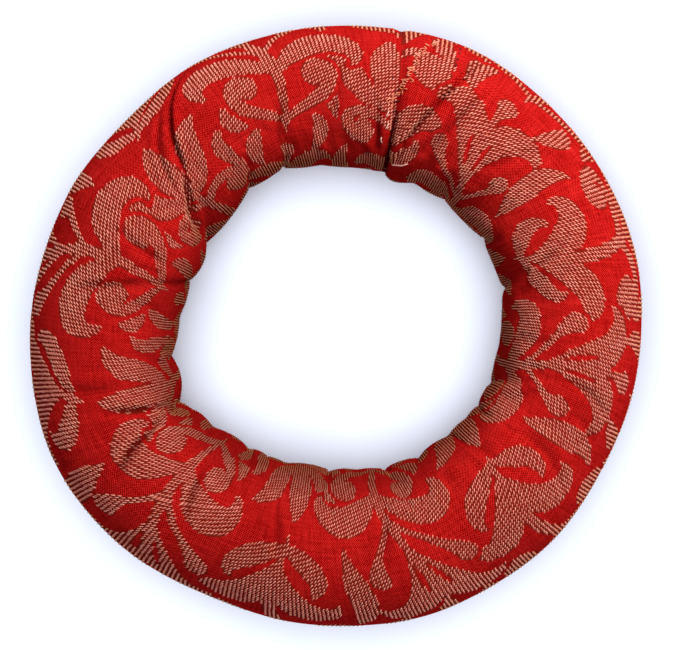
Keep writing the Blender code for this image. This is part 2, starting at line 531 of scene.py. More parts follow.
@dataclass
class Puckers:
    """Small puckers that the cloth makes where it is drawn in at the hole, from a short cloth simulation.

    Attributes:
        slack: How much longer the cloth is than the form at the hole, as a share.
        scale: How much larger the simulated ring is than the cushion.
        last_frame: Last frame of the simulation.
        pressure: Pressure of the stuffing under the cloth.
        mass: Mass of the cloth at each point.
        stretch: How stiff the cloth is along its threads.
        bending: How stiff it is to bend.
        spread: Steps over which the slow part of a move is smoothed, to be left out.
        most: The furthest that a point may move, in millimetres.
    """

    slack: float = 0.06
    scale: float = 10.0
    last_frame: int = 20
    pressure: float = 4.0
    mass: float = 0.2
    stretch: float = 20.0
    bending: float = 1.0
    spread: int = 7
    most: float = 0.45

    def freedom(self, tube: np.ndarray) -> np.ndarray:
        """How free the cloth is to move at a tube angle: 0 where it is held, 1 at the hole."""
        return fade((np.abs(tube - 172.0) - 42.0) / 50.0)

    def weighted(self, cloth: bpy.types.Object, name: str, weights: np.ndarray) -> str:
        """Gives the cloth a vertex group, and returns its name."""
        group = cloth.vertex_groups.new(name=name)
        for level in range(1, 21):
            chosen = np.flatnonzero(np.round(weights.ravel() * 20.0) == level)
            group.add(chosen.tolist(), level / 20.0, "REPLACE")
        return group.name

    def simulated(self, points: np.ndarray, tube: np.ndarray) -> np.ndarray:
        """Runs the cloth.

        Args:
            points: The form's points in millimetres, by ring step and tube step.
            tube: Their tube angles.

        Returns:
            Where the cloth leaves the points.
        """
        size = MM * self.scale
        faces = grid_faces(*points.shape[:2])
        cloth = mesh_object("loose_cloth", points.reshape(-1, 3) * size, faces, None)
        modifier = cloth.modifiers.new("cloth", "CLOTH")
        settings = modifier.settings
        settings.quality = 6
        settings.mass = self.mass
        settings.tension_stiffness = self.stretch
        settings.compression_stiffness = self.stretch
        settings.shear_stiffness = self.stretch / 3.0
        settings.bending_stiffness = self.bending
        settings.air_damping = 2.0
        settings.use_pressure = True
        settings.uniform_pressure_force = self.pressure
        settings.effector_weights.gravity = 0.0
        settings.vertex_group_mass = self.weighted(cloth, "held", 1.0 - self.freedom(tube))
        settings.vertex_group_shrink = settings.vertex_group_mass
        settings.shrink_min = -self.slack
        modifier.collision_settings.use_collision = False
        modifier.point_cache.frame_start = 1
        modifier.point_cache.frame_end = self.last_frame
        scene = bpy.context.scene
        for frame in range(1, self.last_frame + 1):
            scene.frame_set(frame)
        graph = bpy.context.evaluated_depsgraph_get()
        moved = np.zeros(points.size, np.float32)
        cloth.evaluated_get(graph).data.vertices.foreach_get("co", moved)
        cloth.modifiers.remove(modifier)
        bpy.data.objects.remove(cloth)
        scene.frame_set(1)
        return moved.reshape(points.shape).astype(float) / size

    def smoothed(self, moves: np.ndarray) -> np.ndarray:
        """The slow part of the moves, round the ring and the tube."""
        slow = moves
        for _ in range(2):
            for axis in (0, 1):
                shifts = range(-self.spread, self.spread + 1)
                slow = sum(np.roll(slow, shift, axis) for shift in shifts) / len(shifts)
        return slow

    def moves(self, points: np.ndarray, tube: np.ndarray) -> np.ndarray:
        """The quick part of what the cloth does, held within its limit.

        Args:
            points: The form's points in millimetres, by ring step and tube step.
            tube: Their tube angles.

        Returns:
            How far each point moves, in millimetres.
        """
        moved = self.simulated(points, tube) - points
        quick = moved - self.smoothed(moved)
        far = np.linalg.norm(quick, axis=-1, keepdims=True)
        held = self.most * np.tanh(far / self.most) / np.maximum(far, 1e-9)
        return quick * held * self.freedom(tube)[..., None]


class Stroke(NamedTuple):
    """One brush-like shape of the pattern, in its motif's own millimetres and degrees.

    It sets off by its heading from the stalk's way, turns by bend evenly and by curl towards its end. It is
    widest at its belly; root and tip are its widths at the ends, as shares of that.
    """

    up: float
    side: float
    heading: float
    length: float
    bend: float
    curl: float
    width: float
    belly: float
    root: float
    tip: float


class Motif(NamedTuple):
    """One flower on its stalk: its place in the repeat, what is laid once and twice, and what stays red."""

    along: float
    up: float
    single: list[Stroke]
    paired: list[Stroke]
    slits: list[Stroke]


# The two flowers that take turns along the strip
MOTIFS = [
    Motif(
        0.0,
        0.0,
        [
            Stroke(-32.0, 0.0, 0, 39.0, 0, 0, 3.2, 0.50, 0.35, 0.6),
            Stroke(6.5, 0.0, 0, 18.0, 0, 0, 7.8, 0.42, 0.55, 0.0),
        ],
        [
            Stroke(5.5, 1.4, 64, 22.0, -108, 130, 7.8, 0.45, 0.45, 0.0),
            Stroke(-1.0, 0.4, 44, 26.0, 80, 260, 3.0, 0.35, 0.70, 1.8),
            Stroke(-26.0, 0.4, 20, 25.0, 10, 165, 7.4, 0.50, 0.22, 0.0),
            Stroke(-30.0, 0.2, 66, 18.0, 10, -150, 5.4, 0.50, 0.30, 0.0),
            Stroke(1.0, 17.0, -6, 15.0, -20, 120, 4.6, 0.50, 0.20, 0.0),
        ],
        [Stroke(9.0, 3.4, 14, 10.0, 16, -16, 1.1, 0.50, 0.30, 0.0)],
    ),
    Motif(
        33.0,
        30.0,
        [
            Stroke(-31.0, 0.0, 0, 34.0, 0, 0, 3.0, 0.50, 0.35, 0.6),
            Stroke(10.0, 0.0, 0, 12.5, 0, 0, 1.5, 0.50, 1.00, 3.4),
            Stroke(-1.0, 16.5, 14, 25.0, -40, 60, 6.2, 0.45, 0.15, 0.0),
            Stroke(-26.0, -11.0, -70, 9.0, 30, 60, 4.0, 0.55, 0.20, 0.4),
        ],
        [
            Stroke(0.5, 0.3, 8, 28.0, 14, 140, 7.8, 0.50, 0.22, 0.0),
            Stroke(-15.0, 0.5, 44, 28.0, 30, 170, 7.8, 0.50, 0.22, 0.0),
            Stroke(-7.0, 0.6, 34, 17.0, 40, -60, 1.7, 0.50, 0.90, 3.2),
            Stroke(-28.0, 0.4, 52, 25.0, 70, -340, 3.4, 0.45, 0.50, 1.5),
            Stroke(21.0, 8.5, 35, 12.0, -50, -40, 4.8, 0.60, 0.15, 0.3),
        ],
        [Stroke(4.0, 1.5, 9, 8.5, 0, 0, 1.4, 0.50, 0.20, 0.4)],
    ),
]


@dataclass
class LeafDamask:
    """The woven flowers and leaves, as one repeat of how far each place is outside the gold.

    Attributes:
        repeat: Length of one repeat along the strip.
        drop: How far the next repeat is shifted round the girth.
        girth: Height of one repeat round the girth.
        start: Where in the repeat the outer edge of the ring lies.
        sway: How far a stalk swings to each side.
        scale: Size on the cloth of one of these millimetres.
        grain: Step between the repeat's stored places.
        margin: Red left round a flower where it lies over another.
        discs: Discs that a stroke is laid with.
    """

    repeat: float = 66.0
    drop: float = 7.0
    girth: float = 60.0
    start: float = 20.0
    sway: float = 3.2
    scale: float = 0.9
    grain: float = 0.4
    margin: float = 1.0
    discs: int = 48
    outside: np.ndarray = field(init=False)

    def __post_init__(self) -> None:
        """Charts one repeat."""
        self.outside = self.chart()

    def laid(self, stroke: Stroke, motif: Motif, side: int) -> np.ndarray:
        """Lays a stroke as a row of discs.

        Args:
            stroke: The stroke.
            motif: The flower that it belongs to.
            side: 1, or -1 for its mirror image.

        Returns:
            A row for each disc: its place along and round, and its radius.
        """
        share = np.linspace(0.0, 1.0, self.discs)
        heading = np.radians(stroke.heading + stroke.bend * share + stroke.curl * share**3)
        step = stroke.length / (self.discs - 1)
        rise_half = np.cos(heading) * step / 2.0
        side_half = np.sin(heading) * step / 2.0
        up = stroke.up + np.concatenate([[0.0], np.cumsum(rise_half[1:] + rise_half[:-1])])
        away = stroke.side + np.concatenate([[0.0], np.cumsum(side_half[1:] + side_half[:-1])])
        swing = self.sway * np.sin(2.0 * math.pi * up / self.girth)
        widening = np.sin(np.pi / 2.0 * np.clip(share / stroke.belly, 0.0, 1.0)) ** 1.2
        past = np.clip((share - stroke.belly) / (1.0 - stroke.belly), 0.0, 1.0)
        narrowing = np.cos(np.pi / 2.0 * past) ** 0.9
        wide = np.where(
            share < stroke.belly,
            stroke.root + (1.0 - stroke.root) * widening,
            stroke.tip + (1.0 - stroke.tip) * narrowing,
        )
        radius = np.maximum(wide * stroke.width / 2.0, 0.1)
        return np.stack([motif.along - side * away + swing, motif.up - up, radius], axis=-1)

    def clear_of(self, places: np.ndarray, strokes: list[Stroke], motif: Motif, sides: tuple) -> np.ndarray:
        """How far each place of the repeat is outside some strokes, wrapped at the repeat's edges."""
        clear = np.full(places.shape[:2], 1e3, np.float32)
        for stroke in strokes:
            for side in sides:
                for x, y, radius in self.laid(stroke, motif, side).astype(np.float32):
                    over = places[..., 0] - x
                    turns = np.round(over / self.repeat)
                    over = over - turns * self.repeat
                    up = places[..., 1] - y - turns * self.drop
                    up = up - np.round(up / self.girth) * self.girth
                    np.minimum(clear, np.sqrt(over * over + up * up) - radius, out=clear)
        return clear

    def chart(self) -> np.ndarray:
        """Draws one repeat, each flower over the one before with a red margin.

        Returns:
            Millimetres outside the gold, below 0 in it, by place along and place round.
        """
        along, up = np.meshgrid(
            np.arange(0.0, self.repeat + self.grain, self.grain),
            np.arange(0.0, self.girth, self.grain),
            indexing="ij",
        )
        places = np.stack([along, up], axis=-1).astype(np.float32)
        outside = np.full(along.shape, 1e3, np.float32)
        for motif in MOTIFS:
            flower = self.clear_of(places, motif.single, motif, (1,))
            flower = np.minimum(flower, self.clear_of(places, motif.paired, motif, (1, -1)))
            around_flower = self.margin - flower
            flower = np.maximum(flower, -self.clear_of(places, motif.slits, motif, (1, -1)))
            outside = np.minimum(np.maximum(outside, around_flower), flower)
        return outside

    def at(self, along: np.ndarray, round_girth: np.ndarray) -> np.ndarray:
        """How far cloth places are outside the gold.

        Args:
            along: Millimetres along the strip.
            round_girth: Millimetres round its girth.

        Returns:
            Millimetres outside the gold, below 0 in it.
        """
        along = along / self.scale
        round_girth = round_girth / self.scale + self.start
        turns = np.floor(along / self.repeat)
        left_step = (along - turns * self.repeat) / self.grain
        low_step = np.mod(round_girth - turns * self.drop, self.girth) / self.grain
        return between_steps(self.outside, left_step, low_step) * self.scale


Number = Union[float, int, "Shade"]


def operator(operation: str, swapped: bool = False) -> Callable[["Shade", Number], "Shade"]:
    """One of Python's operators for a Shade.

    Args:
        operation: The Math node's operation.
        swapped: Whether the Shade is the second of the two values.

    Returns:
        The method, which adds the Math node.
    """

    def method(shade: "Shade", other: Number) -> "Shade":
        """Adds the Math node for a Shade and another value."""
        first, second = (other, shade) if swapped else (shade, other)
        return shade.book.maths(operation, first, second)

    return method


@dataclass(frozen=True)
class Shade:
    """A socket of a shader tree, on which Python's operators add Math nodes."""

    book: "ShaderBook"
    socket: bpy.types.NodeSocket

    __add__ = __radd__ = operator("ADD")
    __sub__ = operator("SUBTRACT")
    __rsub__ = operator("SUBTRACT", swapped=True)
    __mul__ = operator("MULTIPLY")
    __pow__ = operator("POWER")

    def sine(self) -> "Shade":
        """Sine, of radians."""
        return self.book.maths("SINE", self, 0.0)

    def held(self, low: float = 0.0, high: float = 1.0) -> "Shade":
        """Value kept between two numbers."""
        return self.book.maths("MAXIMUM", self.book.maths("MINIMUM", self, high), low)

    def step(self, low: float, high: float) -> "Shade":
        """0 at low and 1 at high, with an easy ramp between them."""
        node = self.book.node(
            "ShaderNodeMapRange",
            {"interpolation_type": "SMOOTHSTEP"},
            {"Value": self, "From Min": low, "From Max": high, "To Min": 0.0, "To Max": 1.0},
        )
        return Shade(self.book, node.outputs["Result"])


class ShaderBook:
    """Writes the nodes of one material."""

    def __init__(self, name: str) -> None:
        """Starts an empty material.

        Args:
            name: The material's name.
        """
        self.material = bpy.data.materials.new(name)
        self.material.use_nodes = True
        self.tree = self.material.node_tree
        self.tree.nodes.clear()

    def node(self, kind: str, settings: dict, values: dict) -> bpy.types.Node:
        """Adds a node.

        Args:
            kind: The node's type.
            settings: Its settings by name, set first.
            values: Numbers, colours or Shades for its input sockets, by name or place.

        Returns:
            The node.
        """
        node = self.tree.nodes.new(kind)
        for name, value in settings.items():
            setattr(node, name, value)
        for name, value in values.items():
            socket = node.inputs[name]
            if isinstance(value, Shade):
                self.tree.links.new(value.socket, socket)
            else:
                socket.default_value = value
        return node

    def maths(self, operation: str, first: Number, second: Number) -> Shade:
        """Adds a Math node and returns its value."""
        node = self.node("ShaderNodeMath", {"operation": operation}, {0: first, 1: second})
        return Shade(self, node.outputs[0])

    def mix(self, share: Number, first: Union[tuple, Shade], second: Union[tuple, Shade]) -> Shade:
        """Mixes two colours.

        Args:
            share: 0 for the first, 1 for the second.
            first: A colour of three numbers, or a Shade.
            second: The same.

        Returns:
            The mixed colour.
        """
        node = self.tree.nodes.new("ShaderNodeMix")
        node.data_type = "RGBA"
        sockets = [s for s in node.inputs if s.enabled]
        for socket, value in zip(sockets, (share, first, second)):
            if isinstance(value, Shade):
                self.tree.links.new(value.socket, socket)
            elif isinstance(value, tuple):
                socket.default_value = (*value, 1.0)
            else:
                socket.default_value = value
        return Shade(self, next(s for s in node.outputs if s.enabled))

    def attribute(self, name: str) -> Shade:
        """Value of one of the piece's own attributes."""
        node = self.node("ShaderNodeAttribute", {"attribute_name": name}, {})
        return Shade(self, node.outputs["Fac"])

    def cloth(self, name: str) -> tuple[Shade, Shade, Shade]:
        """Cloth place from a UV map, as a vector, and as millimetres along and round."""
        node = self.node("ShaderNodeUVMap", {"uv_map": name}, {})
        split = self.node("ShaderNodeSeparateXYZ", {}, {0: Shade(self, node.outputs["UV"])})
        along, up = split.outputs["X"], split.outputs["Y"]
        return Shade(self, node.outputs["UV"]), Shade(self, along), Shade(self, up)

    def stretched(self, vector: Shade, scale: Triple) -> Shade:
        """A vector with each part multiplied."""
        node = self.node("ShaderNodeVectorMath", {"operation": "MULTIPLY"}, {0: vector, 1: scale})
        return Shade(self, node.outputs["Vector"])

    def noise(self, vector: Shade, scale: float, detail: float = 2.0) -> Shade:
        """Soft noise between 0 and 1."""
        node = self.node(
            "ShaderNodeTexNoise",
            {},
            {"Vector": vector, "Scale": scale, "Detail": detail, "Roughness": 0.55},
        )
        return Shade(self, node.outputs["Fac"])

    def bump(self, height: Shade, distance: float) -> Shade:
        """Normal for a height, given how far one unit of it stands, in metres."""
        node = self.node("ShaderNodeBump", {}, {"Strength": 1.0, "Distance": distance, "Height": height})
        return Shade(self, node.outputs["Normal"])

    def principled(self, values: dict) -> Shade:
        """A Principled shader with those values."""
        node = self.node("ShaderNodeBsdfPrincipled", {}, values)
        return Shade(self, node.outputs[0])

    def finish(self, shader: Shade) -> bpy.types.Material:
        """Links the shader to the output and returns the material."""
        self.node("ShaderNodeOutputMaterial", {}, {"Surface": shader})
        return self.material


@dataclass(frozen=True)
class BrocadeFinish:
    """Red silk ground with the dark red warp that shows between the gold floats, and painted shade down in
    folds, in the join's groove and in at the hole.
    """

    red_deep: Triple = (0.17, 0.0010, 0.0012)
    red: Triple = (0.37, 0.0030, 0.0030)
    red_light: Triple = (0.68, 0.022, 0.018)
    red_painted_shade: Triple = (0.05, 0.001, 0.001)
    warp: Triple = (0.15, 0.007, 0.004)
    warp_light: Triple = (0.28, 0.020, 0.012)
    thread: float = 0.54

    def build(self) -> bpy.types.Material:
        """Writes the material."""
        book = ShaderBook("red_brocade")
        place, along, up = book.cloth("cloth")
        outside = book.attribute("outside")
        in_gold = 1.0 - outside.step(-0.14, 0.14)
        turn = 2.0 * math.pi / self.thread
        weft = (along * turn).sine()
        warp = (up * turn).sine()
        weave = weft * warp
        slub_along = book.noise(book.stretched(place, (0.16, 1.9, 1.0)), 1.0, 3.0)
        slub_up = book.noise(book.stretched(place, (2.1, 0.12, 1.0)), 1.0, 3.0)
        cloudy = book.noise(place, 0.09, 2.0)
        grain = book.noise(place, 2.6, 1.0)
        tone = weave * 0.75 + slub_along + slub_up + cloudy * 0.4 + grain - 1.23
        red = book.mix(tone.step(0.0, 0.50), self.red_deep, self.red)
        red = book.mix(tone.step(0.45, 1.0), red, self.red_light)
        under = book.mix(grain.step(0.35, 0.75), self.warp, self.warp_light)
        colour = book.mix(in_gold, red, under)
        # Painted shade: the red darkens down in folds, in the join's groove and in at the hole
        colour = book.mix(book.attribute("shaded") ** 1.6 * 0.85, colour, self.red_painted_shade)
        height = weave * 0.45 + slub_along * 0.8 + slub_up * 0.8 + grain * 0.6
        normal = book.bump(height, 0.0001)
        silk = book.principled(
            {
                "Base Color": colour,
                "Roughness": 0.60 + grain * 0.12,
                "Normal": normal,
                "Specular IOR Level": 0.0,
            }
        )
        return book.finish(silk)


@dataclass(frozen=True)
class GoldThreadFinish:
    """Flat copper-gold thread, a little metallic, with painted sheen that turns it yellower where it turns
    over the edge, and painted shade in folds, the join's groove and the hole.
    """

    copper: Triple = (0.74, 0.168, 0.116)
    copper_light: Triple = (0.94, 0.385, 0.280)
    sheen_and_tone_gold: Triple = (0.65, 0.222, 0.052)
    painted_shade_colour: Triple = (0.06, 0.008, 0.005)

    def build(self) -> bpy.types.Material:
        """Writes the material."""
        book = ShaderBook("gold_thread")
        tone = book.attribute("tone")
        edge = book.attribute("edge")
        coordinates = book.node("ShaderNodeTexCoord", {}, {})
        spot = book.noise(Shade(book, coordinates.outputs["Object"]), 2200.0, 1.0)
        copper = book.mix((tone * 0.75 + spot * 0.5 - 0.12).held(), self.copper, self.copper_light)
        # Painted sheen: yellower where the cloth tilts over the edge; on the frayed loops this share is a
        # random tone
        colour = book.mix(edge, copper, self.sheen_and_tone_gold)
        # Painted shade: dashes darken down in folds, in the join's groove and in at the hole
        colour = book.mix(book.attribute("shade") ** 1.5 * 0.85, colour, self.painted_shade_colour)
        metal = book.principled(
            {
                "Base Color": colour,
                "Roughness": 0.40 + spot * 0.16,
                "Metallic": 0.3,
                "Specular IOR Level": 0.05,
            }
        )
        return book.finish(metal)


@dataclass(frozen=True)
class SewingThreadFinish:
    """Cotton sewing thread, its ends twisted together, dark red or pale, with painted shade in the furrows of
    its twist.
    """

    dark: Triple = (0.10, 0.006, 0.006)
    pale: Triple = (0.95, 0.60, 0.50)

    def build(self) -> bpy.types.Material:
        """Writes the material."""
        book = ShaderBook("sewing_thread")
        twist = book.attribute("twist")
        colour = book.mix(book.attribute("pale"), self.dark, self.pale)
        # Painted shade in the furrows of the twist, for the dark and the pale thread
        furrow_painted_shade = book.mix(book.attribute("pale"), tuple(part * 0.5 for part in self.dark), (0.42, 0.13, 0.10))
        cotton = book.principled(
            {
                "Base Color": book.mix(twist.step(-0.7, 0.5), furrow_painted_shade, colour),
                "Roughness": 0.66 - twist * 0.05,
                "Specular IOR Level": 0.2,
            }
        )
        return book.finish(cotton)


@dataclass(frozen=True)
class FloorFinish:
    """Plain white paper that the cushion lies on."""

    colour: Triple = (0.76, 0.835, 0.97)

    def build(self) -> bpy.types.Material:
        """Writes the material."""
        book = ShaderBook("white_paper")
        coordinates = book.node("ShaderNodeTexCoord", {}, {})
        cloudy = book.noise(Shade(book, coordinates.outputs["Object"]), 6.0, 2.0)
        faint = tuple(part * 0.99 for part in self.colour)
        colour = book.mix(cloudy, self.colour, faint)
        return book.finish(book.principled({"Base Color": colour, "Roughness": 0.9}))


@dataclass
class RingCover:
    """The brocade cover on its stuffing.

    Attributes:
        damask: The pattern that is woven into it.
        puckers: The puckers at its hole.
        finish: Its finish.
        groove_width: Half of the painted shade line in the join's groove on the crown, in millimetres.
        groove_wider: How much wider it is at the hole.
        groove_shade: How dark that painted shade is at the outer edge.
        hole_shade: How dark the painted shade is in at the hole.
        lower_shade: How much more painted shade there is on the lower left side of the picture, away from the
            light.
        lower_from: Ring angle opposite that side, towards the light.
        lower_sooner: How many degrees of the tube sooner it grows dark there.
        settled: Points of the grid in millimetres, once it is built.
        normals: The way that the cloth faces at each point.
        shaded: Painted shade at each point, from 0 to 1: down in a fold, in the join's groove or in at the
            hole.
    """

    damask: LeafDamask
    puckers: Puckers = field(default_factory=Puckers)
    finish: BrocadeFinish = BrocadeFinish()
    groove_width: float = 0.8
    groove_wider: float = 0.9
    groove_shade: float = 0.3
    hole_shade: float = 0.56
    lower_shade: float = 0.19
    lower_from: float = 60.0
    lower_sooner: float = 24.0
    settled: np.ndarray = field(init=False)
    normals: np.ndarray = field(init=False)
    shaded: np.ndarray = field(init=False)

    def facing(self, grid: np.ndarray) -> np.ndarray:
        """The way that the cloth faces at each point of a grid."""
        round_ring = np.roll(grid, -1, 0) - np.roll(grid, 1, 0)
        round_tube = np.roll(grid, -1, 1) - np.roll(grid, 1, 1)
        normals = unit(np.cross(round_ring, round_tube))
        return normals if (normals * grid)[:, 0].sum() > 0.0 else -normals

    def shape(self) -> None:
        """Works out the cover's points and the way that each faces."""
        form = RingForm()
        grid = form.points()
        grid += self.puckers.moves(grid, form.angles()[1])
        for way in (Wave.RING, Wave.TUBE):
            grid = refined(grid, way)
        ring_steps, tube_steps = grid.shape[:2]
        tube = np.broadcast_to((np.arange(tube_steps) + FINER * 0.5) * 360.0 / tube_steps, grid.shape[:2])
        ring = np.arange(ring_steps)[:, None] * 360.0 / ring_steps + JOIN_LEAN * np.cos(np.radians(tube))
        reach = np.hypot(grid[..., 0], grid[..., 1])
        depth, bottom = form.folded(ring, tube, reach)
        grid -= self.facing(grid) * depth[..., None]
        grid[..., 2] = np.maximum(grid[..., 2], 0.0)
        self.settled = grid
        self.normals = self.facing(grid)
        # Painted shade, taken from the fold bottoms, the join's groove and the hole
        darker = np.maximum(bottom, self.painted_groove_shade(ring, tube, reach))
        self.shaded = np.maximum(darker, self.painted_hole_shade(ring, tube))

    def painted_groove_shade(self, ring: np.ndarray, tube: np.ndarray, reach: np.ndarray) -> np.ndarray:
        """Painted shade along the join's groove at each place, from 0 to 1."""
        line = JOIN_AT_CROWN + JOIN_LEAN * np.cos(np.radians(tube))
        across = np.radians(apart(ring, line)) * reach
        width = self.groove_width + self.groove_wider * GROOVE_WIDENS.at(tube)
        shade = self.groove_shade + (1.0 - self.groove_shade) * GROOVE_DARKENS.at(tube)
        return np.exp(-(np.abs(across / width) ** 1.5)) * shade * (tube < GROOVE_ENDS)

    def painted_hole_shade(self, ring: np.ndarray, tube: np.ndarray) -> np.ndarray:
        """Painted shade at each place in at the hole, from 0 to 1, deeper on the side away from the light."""
        lower = 0.5 - 0.5 * np.cos(np.radians(ring - self.lower_from))
        shade = self.hole_shade + self.lower_shade * lower
        return shade * HOLE_DARKENS.at(tube + self.lower_sooner * lower) * (tube < HOLE_ENDS)

    def steps(self, ring_turn: np.ndarray, tube: np.ndarray) -> tuple[np.ndarray, np.ndarray]:
        """Grid steps, with parts, of places on the cover.

        Args:
            ring_turn: Degrees round the ring from the join, on the grid's own columns.
            tube: Tube angles.

        Returns:
            Steps round the ring and round the tube.
        """
        ring_steps, tube_steps = self.settled.shape[:2]
        ring_step = np.mod(ring_turn + JOIN_AT_CROWN, 360.0) / 360.0 * ring_steps
        tube_step = np.mod(tube / 360.0 * tube_steps - FINER * 0.5, tube_steps)
        return ring_step, tube_step

    def sample(self, grid: np.ndarray, ring_turn: np.ndarray, tube: np.ndarray) -> np.ndarray:
        """Reads one of the cover's grids between its steps."""
        return between_steps(grid, *self.steps(ring_turn, tube))

    def skew(self, ring_turn: np.ndarray) -> np.ndarray:
        """How far the cloth's threads lean, as millimetres along for each millimetre round."""
        lean = SKEW_MEAN - SKEW_SWING * np.cos(np.radians(2.0 * (ring_turn + JOIN_AT_CROWN)))
        return np.tan(np.radians(lean))

    def off_crown(self, round_girth: np.ndarray) -> np.ndarray:
        """Millimetres from the crown over which the threads' lean has built up; it stops before the edges."""
        return LEAN_REACH * np.tanh((round_girth - STRIP_WIDTH / 4.0) / LEAN_REACH)

    def cloth_place(self, ring_turn: np.ndarray, tube: np.ndarray) -> tuple[np.ndarray, np.ndarray]:
        """Where a place on the ring is on the flat strip, in millimetres along and round."""
        round_girth = tube / 360.0 * STRIP_WIDTH
        along = ring_turn / 360.0 * STRIP_LENGTH
        return along + self.skew(ring_turn) * self.off_crown(round_girth), round_girth

    def ring_turn(self, along: np.ndarray, round_girth: np.ndarray) -> np.ndarray:
        """Degrees from the join of places on the flat strip: the other way round from cloth_place."""
        turn = along / STRIP_LENGTH * 360.0
        for _ in range(6):
            leaned = self.skew(turn) * self.off_crown(round_girth)
            turn = (along - leaned) / STRIP_LENGTH * 360.0
        return turn

    def build(self) -> bpy.types.Object:
        """Makes the cover's mesh with its cloth map.

        Returns:
            The cover.
        """
        self.shape()
        ring_steps, tube_steps = self.settled.shape[:2]
        faces = grid_faces(ring_steps, tube_steps)
        cover = mesh_object("ring_cover", self.settled.reshape(-1, 3) * MM, faces, self.finish.build())
        mesh = cover.data
        corners = np.zeros(len(mesh.loops), np.int32)
        mesh.loops.foreach_get("vertex_index", corners)
        ring_step = (corners // tube_steps).astype(float)
        tube_step = (corners % tube_steps).astype(float)
        face_ring = np.repeat(np.arange(ring_steps * tube_steps) // tube_steps, 4)
        face_tube = np.repeat(np.arange(ring_steps * tube_steps) % tube_steps, 4)
        ring_step = np.where(ring_step < face_ring, ring_step + ring_steps, ring_step)
        tube_step = np.where(tube_step < face_tube, tube_step + tube_steps, tube_step)
        join_step = JOIN_AT_CROWN / 360.0 * ring_steps
        past = face_ring < join_step
        turn = (ring_step - join_step + np.where(past, ring_steps, 0)) / ring_steps * 360.0
        tube = (tube_step + FINER * 0.5) / tube_steps * 360.0
        tube_face = (face_tube + FINER * 0.5) / tube_steps * 360.0
        tube = tube - np.where(tube_face >= 270.0, 360.0, 0.0)
        along, round_girth = self.cloth_place(turn, tube)
        uv = mesh.uv_layers.new(name="cloth")
        uv.data.foreach_set("uv", np.stack([along, round_girth], axis=-1).astype(np.float32).ravel())
        keep_on(mesh, "shaded", self.shaded.ravel())
        keep_on(mesh, "outside", self.damask.at(along, round_girth), "CORNER")
        return cover


# Gold floats: degrees kept clear at the join, the last place before it, a step to measure the cloth's stretch
# by, and how far a dash is lifted off the cloth in millimetres
JOIN_GAP = 0.2
LAST_TURN = 359.99
HALF_DEGREE = 0.5
OFF_CLOTH = 0.01

# How upright the cloth is where painted sheen turns its threads yellower, and how that starts on the way into
# the hole
EDGE_LEVEL = 0.15
EDGE_OVER = 0.5
CROWN = 90.0
SHEEN_FROM = 125.0
SHEEN_OVER = 30.0
SHEEN_LEAST = 0.3


